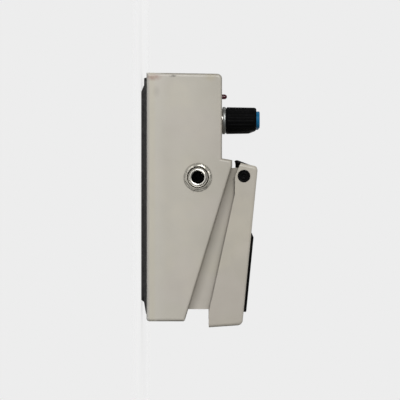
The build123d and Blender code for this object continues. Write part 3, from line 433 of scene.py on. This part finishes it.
# ---- mesh helpers --------------------------------------------------------------------------------
def finish_mesh(name, bm, body, slot, replaced=(), sharp=35.0):
    """Turns a bmesh in metres into a piece that rides on a body and stands for CAD nodes."""
    bmesh.ops.remove_doubles(bm, verts=bm.verts, dist=0.002 * MM)
    bmesh.ops.recalc_face_normals(bm, faces=bm.faces)
    mesh = bpy.data.meshes.new(name)
    bm.to_mesh(mesh)
    bm.free()
    for face in mesh.polygons:
        face.use_smooth = True
    mesh.set_sharp_from_angle(angle=radians(sharp))
    piece = bpy.data.objects.new(name, mesh)
    bpy.context.scene.collection.objects.link(piece)
    dress(piece, SURFACES[slot])
    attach(piece, body)
    if replaced:
        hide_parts(*replaced)
    return piece


def turned(bm, profile, place, segments=96, shape=None):
    """Revolves (radius, height) points, in mm, about local Z at a placing matrix.

    The form closes where the radius is 0. shape(radius, height, angle) may return another radius,
    for flutes, knurls and flats."""
    rings = []
    for radius, height in profile:
        if radius < 1e-6:
            rings.append([bm.verts.new(place @ Vector((0, 0, height * MM)))])
            continue
        ring = []
        for step in range(segments):
            angle = 2 * pi * step / segments
            reach = shape(radius, height, angle) if shape else radius
            point = Vector((reach * cos(angle) * MM, reach * sin(angle) * MM, height * MM))
            ring.append(bm.verts.new(place @ point))
        rings.append(ring)
    for low, high in zip(rings, rings[1:]):
        for step in range(segments):
            after = (step + 1) % segments
            if len(low) == 1 and len(high) == 1:
                continue
            if len(low) == 1:
                bm.faces.new((low[0], high[after], high[step]))
            elif len(high) == 1:
                bm.faces.new((low[step], low[after], high[0]))
            else:
                bm.faces.new((low[step], low[after], high[after], high[step]))


def centre_of(node_name):
    """Middle of a CAD node's box."""
    low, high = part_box(node_name)
    return (low + high) / 2


def placed(origin, z_axis, x_axis):
    """Matrix with local Z and X along those directions, at an origin."""
    z_axis = Vector(z_axis).normalized()
    y_axis = z_axis.cross(Vector(x_axis)).normalized()
    x_axis = y_axis.cross(z_axis)
    turn = Matrix((x_axis, y_axis, z_axis)).transposed().to_4x4()
    return Matrix.Translation(origin) @ turn


# ---- knobs ---------------------------------------------------------------------------------------
FLUTES = 20
FLUTE_DEPTH = 0.20           # in mm, and so are the other lengths of the outlines below
POINTER_BEVEL = 4.0          # height of the bevel on the knob's front
COLLAR_BORE = 5.75
CAP_SEAT = 4.42              # radius of the recess that holds the cap


def build_knob(place):
    """Fluted grip with a pointer bevel on its front, over a metal collar round the foot."""
    node_name = f"knob_{place}"
    low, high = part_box(node_name)
    top = (high.z - low.z) / MM
    foot = (high.x - low.x) / 2 / MM
    shoulder = foot - 0.35
    bevel_start = top - POINTER_BEVEL
    where = placed(((low.x + high.x) / 2, (low.y + high.y) / 2, low.z), (0, 0, 1), (1, 0, 0))

    def grip(radius, height, angle):
        """Cuts the flutes, which run out at both ends, and the bevel."""
        if radius <= 5.0:
            return radius
        start_of_flute = min(max(height - 2.5, 0.0), 1.0)
        end_of_flute = min(max((top - 1.0 - height) / 1.4, 0.0), 1.0)
        wave = max(cos(FLUTES * angle), -0.25) + 0.25
        reach = radius - FLUTE_DEPTH * wave * start_of_flute * end_of_flute
        front = -sin(angle)
        if height > bevel_start and front > 0.05:
            limit = foot - 0.15 - 1.55 * (height - bevel_start) / POINTER_BEVEL
            reach = min(reach, limit / front)
        return reach

    outline = [(0, 4.4), (COLLAR_BORE, 4.4), (COLLAR_BORE, 1.9), (6.0, 1.75), (6.0, 2.05), (6.38, 2.2)]
    widest = (foot - 0.12, 2.45)
    steps = 12
    tallest = top - 1.1
    for step in range(steps + 1):
        share = step / steps
        radius = widest[0] + (shoulder - widest[0]) * share
        outline.append((radius, widest[1] + (tallest - widest[1]) * share))
    outline += [(shoulder - 0.14, top - 0.6), (shoulder - 0.42, top - 0.22), (shoulder - 0.8, top)]
    outline += [(CAP_SEAT + 0.13, top), (CAP_SEAT, top - 0.15), (CAP_SEAT, top - 0.8), (0, top - 0.8)]
    bm = bmesh.new()
    turned(bm, outline, where, FLUTES * 10, grip)
    finish_mesh(f"knob_grip_{place}", bm, node_name, "knob_plastic", [node_name])

    collar = [(COLLAR_BORE, 0.05), (6.3, 0.0), (foot - 0.12, 0.12), (foot, 0.4), (foot, 1.2)]
    collar += [(foot - 0.1, 1.5), (foot - 0.35, 1.68), (6.02, 1.74), (COLLAR_BORE, 1.74)]
    collar += [(COLLAR_BORE, 0.05)]
    bm = bmesh.new()
    turned(bm, collar, where, 128)
    piece = finish_mesh(f"knob_collar_{place}", bm, node_name, "knob_plastic")
    dress(piece, KNOB_COLLAR)


def build_cap(place):
    """Coloured cap with a rounded rim, a dished top and a painted pointer bar."""
    node_name = f"knob_cap_{place}"
    low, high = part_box(node_name)
    reach = (high.x - low.x) / 2 / MM
    tall = (high.z - low.z) / MM
    where = placed(((low.x + high.x) / 2, (low.y + high.y) / 2, low.z), (0, 0, 1), (1, 0, 0))
    rim = 0.55
    outline = [(0, 0), (reach, 0), (reach, tall - rim)]
    for turn in (20, 45, 70, 90):
        angle = radians(turn)
        outline.append((reach - rim + rim * cos(angle), tall - rim + rim * sin(angle)))
    outline += [(reach - 0.9, tall - 0.04), (reach - 1.3, tall - 0.14)]
    outline += [(1.2, tall - 0.2), (0, tall - 0.2)]
    bm = bmesh.new()
    turned(bm, outline, where, 96)
    finish_mesh(f"cap_{place}", bm, f"knob_{place}", "cap_plastic", [node_name])
    bm = bmesh.new()
    middle = Matrix.Translation((0, -(reach - 1.0) / 2 * MM, (tall - 0.16) * MM))
    size = Matrix.Diagonal((0.8 * MM, (reach - 1.1) * MM, 0.16 * MM, 1))
    bmesh.ops.create_cube(bm, size=1.0, matrix=where @ middle @ size)
    bmesh.ops.bevel(bm, geom=bm.edges[:], offset=0.05 * MM, segments=2, affect="EDGES")
    piece = finish_mesh(f"pointer_{place}", bm, f"knob_{place}", "cap_plastic")
    dress(piece, POINTER)


# ---- hinge bushes --------------------------------------------------------------------------------
def build_bush(side_name, side):
    """Nylon bush: rounded rim, a groove, a raised ring and a dished middle with a small nub."""
    node_name = f"hinge_bush_{side_name}"
    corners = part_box(node_name)
    middle = centre_of(node_name)
    reach = (corners[1].z - corners[0].z) / 2 / MM
    inner = min(abs(corner.x) for corner in corners) / MM
    outer = max(abs(corner.x) for corner in corners) / MM
    where = placed((0, middle.y, middle.z), (side, 0, 0), (0, side, 0))
    bore = 1.7
    outline = [(bore, inner), (reach, inner), (reach, outer - 0.3), (reach - 0.09, outer - 0.09)]
    outline += [(reach - 0.3, outer), (2.45, outer)]
    groove = [(2.3, 0.1), (2.25, 0.4), (1.85, 0.4), (1.8, 0.1)]
    dish = [(1.65, 0), (1.35, 0), (1.2, 0.08), (1.0, 0.3), (0.55, 0.35)]
    nub = [(0.5, 0.1), (0.35, 0.02), (0, 0)]
    outline += [(radius, outer - depth) for radius, depth in groove + dish + nub]
    outline += [(0, outer - 0.9), (bore, outer - 0.9), (bore, inner)]
    bm = bmesh.new()
    turned(bm, outline, where, 96)
    finish_mesh(f"bush_cap_{side_name}", bm, "treadle", "bush_plastic", [node_name])


# ---- treadle pad ---------------------------------------------------------------------------------
def build_treadle_pad():
    """Moulded rubber mat: raised border, cross ribs inside it, and a lead-in at the rear."""
    low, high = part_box("treadle_pad")
    long = (high.y - low.y) / MM / cos(TREADLE_TILT)
    half = (high.x - low.x) / 2 / MM
    thick = 1.4
    edge_round = 0.5
    lead_in, lead_in_thick = 2.2, 0.15
    border = 3.2
    ribs = 9
    groove_depth = 0.75
    where = placed((0, low.y, low.z), (0, -sin(TREADLE_TILT), cos(TREADLE_TILT)), (1, 0, 0))

    def height(x, y):
        """Height of the mat's upper side at a point measured from the front edge's middle."""
        top = thick
        inset = min(half - abs(x), y, long - y)
        if inset <= 0:
            top -= edge_round
        elif inset < edge_round:
            top -= edge_round - (edge_round ** 2 - (edge_round - inset) ** 2) ** 0.5
        to_rear = long - y
        if to_rear < lead_in:
            top = min(top, lead_in_thick + (thick - lead_in_thick) * to_rear / lead_in)
        inner = min(half - border - abs(x), y - border, long - border - y)
        if inner > 0:
            pitch = (long - 2 * border) / ribs
            phase = (y - border) / pitch % 1.0
            groove = max(0.0, cos(2 * pi * phase) + 0.1) ** 0.5
            top -= groove_depth * min(inner / 0.5, 1.0) * groove
        return top

    columns = 96
    rows = 260
    across = [-half + 2 * half * (0.5 - 0.5 * cos(pi * step / columns)) for step in range(columns + 1)]
    along = [long * step / rows for step in range(rows + 1)]
    bm = bmesh.new()
    upper = [[bm.verts.new(where @ Vector((x * MM, y * MM, height(x, y) * MM))) for x in across]
             for y in along]
    lower = [[bm.verts.new(where @ Vector((x * MM, y * MM, 0))) for x in across] for y in along]
    for row in range(rows):
        for column in range(columns):
            for sheet in (upper, lower):
                bm.faces.new((sheet[row][column], sheet[row][column + 1],
                              sheet[row + 1][column + 1], sheet[row + 1][column]))
        for edge in (0, columns):
            bm.faces.new((upper[row][edge], upper[row + 1][edge],
                          lower[row + 1][edge], lower[row][edge]))
    for column in range(columns):
        for edge in (0, rows):
            bm.faces.new((upper[edge][column], upper[edge][column + 1],
                          lower[edge][column + 1], lower[edge][column]))
    finish_mesh("treadle_mat", bm, "treadle", "pad_rubber", ["treadle_pad"], 60)


# ---- sockets -------------------------------------------------------------------------------------
def hexagon(flats, turn):
    """Shape function: a hexagon across flats, held inside the profile's own radius."""
    def shape(radius, height, angle):
        sector = (angle - turn + pi / 6) % (pi / 3) - pi / 6
        return min(radius, flats / 2 / cos(sector))
    return shape


SOCKET_BORE = 3.2            # radii and heights in mm
SLEEVE_RADIUS = 4.4
WASHER_THICK = 0.5
NUT_THICK = 0.9
NUT_BORE = 4.5
NUT_FLATS = 12.0
NUT_TURN = radians(12)
SLEEVE_BELOW_NUT = 1.6       # the drawn thread starts this far below the nut's face
THREAD_PITCH = 0.5


def build_socket(side_name, side):
    """Threaded sleeve with a lip, chamfered hex nut and washer; darker copies of the nickel paint shade on the
    sleeve, washer and nut, and a brighter one paints a highlight on the lip.
    """
    middle = centre_of(f"jack_{side_name}_nut")
    washer_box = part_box(f"jack_{side_name}_washer")
    sleeve_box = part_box(f"jack_{side_name}_sleeve")
    face = min(abs(corner.x) for corner in washer_box) / MM
    inner = min(abs(corner.x) for corner in sleeve_box) / MM
    tip = max(abs(corner.x) for corner in sleeve_box) / MM
    where = placed((0, middle.y, middle.z), (side, 0, 0), (0, side, 0))
    nut_low = face + WASHER_THICK
    nut_high = nut_low + NUT_THICK

    washer = [(NUT_BORE, face), (6.95, face), (7.1, face + 0.12), (7.1, face + 0.36)]
    washer += [(6.95, nut_low), (NUT_BORE, nut_low), (NUT_BORE, face)]
    bm = bmesh.new()
    turned(bm, washer, where, 128)
    name = f"jack_{side_name}_washer"
    piece = finish_mesh(f"socket_washer_{side_name}", bm, "housing", "nickel", [name])
    # Painted shade: the washer in a darker copy of the nickel
    dress(piece, WASHER_PAINTED_SHADE)

    nut = [(NUT_BORE, nut_low), (6.7, nut_low), (7.0, nut_low + 0.15), (7.0, nut_high - 0.42)]
    nut += [(6.75, nut_high - 0.24), (6.35, nut_high - 0.08), (6.0, nut_high), (5.6, nut_high)]
    nut += [(5.3, nut_high - 0.35), (4.9, nut_high - 0.75), (NUT_BORE, nut_high - 0.8)]
    nut += [(NUT_BORE, nut_low)]
    bm = bmesh.new()
    turned(bm, nut, where, 192, hexagon(NUT_FLATS, NUT_TURN))
    name = f"jack_{side_name}_nut"
    piece = finish_mesh(f"socket_nut_{side_name}", bm, "housing", "nickel", [name])
    # Painted shade: the nut in a darker copy of the nickel
    dress(piece, NUT_PAINTED_SHADE)

    thread_start = nut_high - SLEEVE_BELOW_NUT
    lip_start = tip - 0.45
    sleeve = [(SOCKET_BORE, inner), (SLEEVE_RADIUS, inner), (SLEEVE_RADIUS, thread_start)]
    for turn in range(int((tip - 0.55 - thread_start) / THREAD_PITCH)):
        start = thread_start + turn * THREAD_PITCH
        sleeve += [(4.42, start + 0.1), (4.2, start + 0.25), (4.42, start + 0.4)]
    sleeve += [(4.3, lip_start), (SOCKET_BORE, lip_start), (SOCKET_BORE, inner)]
    bm = bmesh.new()
    turned(bm, sleeve, where, 96)
    name = f"jack_{side_name}_sleeve"
    piece = finish_mesh(f"socket_sleeve_{side_name}", bm, "housing", "nickel", [name])
    # Painted shade: the threaded sleeve in a dark copy of the nickel
    dress(piece, SLEEVE_PAINTED_SHADE)

    lip = [(SOCKET_BORE, lip_start), (4.3, lip_start), (4.34, tip - 0.25), (4.2, tip - 0.08)]
    lip += [(4.0, tip), (3.75, tip), (3.5, tip - 0.06), (3.32, tip - 0.2), (SOCKET_BORE, lip_start)]
    bm = bmesh.new()
    turned(bm, lip, where, 96)
    piece = finish_mesh(f"socket_lip_{side_name}", bm, "housing", "nickel")
    # Painted highlight on the lip
    dress(piece, LIP_PAINTED_HIGHLIGHT)


# ---- thumbscrew ----------------------------------------------------------------------------------
KNURLS = 36
KNURL_DEPTH = 0.30           # in mm, like the rest of the outline
HEAD_THICK = 4.3
SHANK_RADIUS = 1.95
SHANK_PITCH = 0.7


def build_thumbscrew():
    """Knurled head that widens to a rounded rim, with a dished face and a threaded shank."""
    joint = next(joint for joint in frame["joints"] if joint["child"] == "thumbscrew")
    axis = Vector(joint["axis"]).normalized()
    across = axis.cross(Vector((1, 0, 0)))
    points = [vertex.co for vertex in NODES["thumbscrew"].data.vertices]
    along_axis = [point.dot(axis) for point in points]
    over_axis = [point.dot(across) for point in points]
    tip, end = max(along_axis), min(along_axis)
    middle = (max(over_axis) + min(over_axis)) / 2
    rim = (max(over_axis) - min(over_axis)) / 2 / MM
    bottom = (end - tip) / MM
    where = placed(axis * tip + across * middle, axis, (1, 0, 0))

    def knurl(radius, height, angle):
        if radius < 4.2 or height > -0.2:
            return radius
        wave = abs((angle * KNURLS / (2 * pi)) % 1.0 - 0.5) * 2
        return radius - KNURL_DEPTH * (1 - wave) ** 0.8

    outline = [(0, bottom), (1.7, bottom), (SHANK_RADIUS, bottom + 0.3)]
    for turn in range(int((-HEAD_THICK - bottom - 0.8) / SHANK_PITCH)):
        start = bottom + 0.4 + turn * SHANK_PITCH
        outline += [(SHANK_RADIUS, start + 0.1), (1.65, start + 0.35), (SHANK_RADIUS, start + 0.6)]
    outline += [(SHANK_RADIUS, -HEAD_THICK), (3.9, -HEAD_THICK), (4.15, -HEAD_THICK + 0.2)]
    outline += [(4.5, -3.1), (rim - 0.5, -1.9), (rim - 0.05, -1.6), (rim, -1.4)]
    outline += [(rim - 0.12, -1.05), (rim - 0.45, -0.65), (rim - 1.0, -0.38), (rim - 1.4, -0.32)]
    outline += [(3.6, -0.32), (3.3, -0.5), (1.0, -0.55), (0, -0.55)]
    bm = bmesh.new()
    turned(bm, outline, where, KNURLS * 6, knurl)
    finish_mesh("thumbscrew_knurled", bm, "thumbscrew", "black_metal", ["thumbscrew"])


# ---- return spring -------------------------------------------------------------------------------
SPRING_WIRE = 0.45           # radius of the wire, in mm
SPRING_TURNS = 9             # open turns, between one closed turn at each end


def build_spring():
    """Coil spring with a closed turn at each end."""
    low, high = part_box("return_spring")
    coil = (high.x - low.x) / 2 / MM - SPRING_WIRE
    closed_pitch = 2 * SPRING_WIRE
    tall = (high.z - low.z) / MM - closed_pitch
    open_pitch = (tall - 2 * closed_pitch) / SPRING_TURNS
    middle = (low + high) / 2
    where = Matrix.Translation((middle.x, middle.y, low.z + SPRING_WIRE * MM))
    steps, sides = 36, 12
    bm = bmesh.new()
    rings = []
    for step in range((SPRING_TURNS + 2) * steps + 1):
        turn = step / steps
        open_turns = min(max(turn - 1, 0), SPRING_TURNS)
        height = closed_pitch * (turn - open_turns) + open_pitch * open_turns
        angle = 2 * pi * turn
        ring = []
        for side in range(sides):
            around = 2 * pi * side / sides
            reach = coil + SPRING_WIRE * cos(around)
            rise = height + SPRING_WIRE * sin(around)
            point = Vector((reach * cos(angle), reach * sin(angle), rise))
            ring.append(bm.verts.new(where @ (point * MM)))
        rings.append(ring)
    for first, second in zip(rings, rings[1:]):
        for side in range(sides):
            after = (side + 1) % sides
            bm.faces.new((first[side], first[after], second[after], second[side]))
    bm.faces.new(rings[0])
    bm.faces.new(rings[-1])
    spring = finish_mesh("coil_spring", bm, "housing", "spring_steel", ["return_spring"], 60)
    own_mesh(spring)


for knob_place in ("left", "centre", "right"):
    build_knob(knob_place)
    build_cap(knob_place)
build_treadle_pad()
for jack_side, outward in (("left", -1), ("right", 1)):
    build_socket(jack_side, outward)
    build_bush(jack_side, outward)
build_thumbscrew()
build_spring()


# ---- stage, camera and lights --------------------------------------------------------------------
def build_stage():
    """A pale floor and an even pale surround."""
    world = bpy.data.worlds.new("surround")
    world.use_nodes = True
    tree = world.node_tree
    seen = tree.nodes["Background"]
    seen.inputs["Color"].default_value = linear(BACKDROP)
    lighting = tree.nodes.new("ShaderNodeBackground")
    lighting.inputs["Color"].default_value = (1.0, 1.0, 1.0, 1.0)
    lighting.inputs["Strength"].default_value = SURROUND_LIGHT
    path = tree.nodes.new("ShaderNodeLightPath")
    mix = tree.nodes.new("ShaderNodeMixShader")
    tree.links.new(path.outputs["Is Camera Ray"], mix.inputs["Fac"])
    tree.links.new(lighting.outputs[0], mix.inputs[1])
    tree.links.new(seen.outputs[0], mix.inputs[2])
    tree.links.new(mix.outputs[0], tree.nodes["World Output"].inputs["Surface"])
    bpy.context.scene.world = world

    bm = bmesh.new()
    bmesh.ops.create_circle(bm, cap_ends=True, segments=96, radius=FLOOR_RADIUS)
    mesh = bpy.data.meshes.new("floor")
    bm.to_mesh(mesh)
    bm.free()
    floor = bpy.data.objects.new("floor", mesh)
    floor.location.z = -FLOOR_DROP
    bpy.context.scene.collection.objects.link(floor)
    pale = Surface("floor_pale", FLOOR_GREY, 1.0, Specular_IOR_Level=0.0)
    length = pale.tree.nodes.new("ShaderNodeVectorMath")
    length.operation = "LENGTH"
    pale.tree.links.new(pale.place, length.inputs[0])
    from_middle = length.outputs["Value"]
    fade = pale.ramp(from_middle, 0.35 * FLOOR_RADIUS, 0.97 * FLOOR_RADIUS, 1.0, 0.0)
    pale.tree.links.new(fade, pale.shader.inputs["Alpha"])
    pale.shader.inputs["Emission Color"].default_value = linear(BACKDROP)
    path = pale.tree.nodes.new("ShaderNodeLightPath")
    seen = pale.math("MAXIMUM", path.outputs["Is Camera Ray"], path.outputs["Is Glossy Ray"])
    pale.tree.links.new(pale.both(seen, FLOOR_GLOW), pale.shader.inputs["Emission Strength"])
    floor.data.materials.append(pale.material)


def soft_light(name, position, size, power):
    """A square area light that faces the pedal, in metres and watts."""
    data = bpy.data.lights.new(name, "AREA")
    data.shape = "SQUARE"
    data.size = size
    data.energy = power
    light = bpy.data.objects.new(name, data)
    light.location = position
    towards = Vector((0, 0, 0.03)) - Vector(position)
    light.rotation_euler = towards.to_track_quat("-Z", "Y").to_euler()
    bpy.context.scene.collection.objects.link(light)


def build_camera():
    """Square on to the left side, rolled so that the rear is up and the panel to the right."""
    data = bpy.data.cameras.new("camera")
    data.sensor_width = SENSOR_WIDTH
    data.lens = SENSOR_WIDTH * CAMERA_DISTANCE / FRAME_WIDTH
    data.clip_start = 0.05
    data.clip_end = 50.0
    camera = bpy.data.objects.new("camera", data)
    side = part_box("enclosure")[0].x
    camera.matrix_world = Matrix((
        (0, 0, -1, side - CAMERA_DISTANCE),
        (0, 1, 0, 0.0),
        (1, 0, 0, CAMERA_HEIGHT),
        (0, 0, 0, 1),
    ))
    bpy.context.scene.collection.objects.link(camera)
    bpy.context.scene.camera = camera


build_stage()
build_camera()
soft_light("key", (-1.45, 0.72, 0.33), 0.8, 17.0)
soft_light("top", (0.3, 0.1, 1.5), 1.0, 2.5)
soft_light("fill", (1.2, -0.9, 0.7), 1.0, 8.0)
soft_light("rear", (0.9, 1.2, 0.6), 0.8, 4.0)
bpy.context.scene.view_settings.view_transform = "Standard"
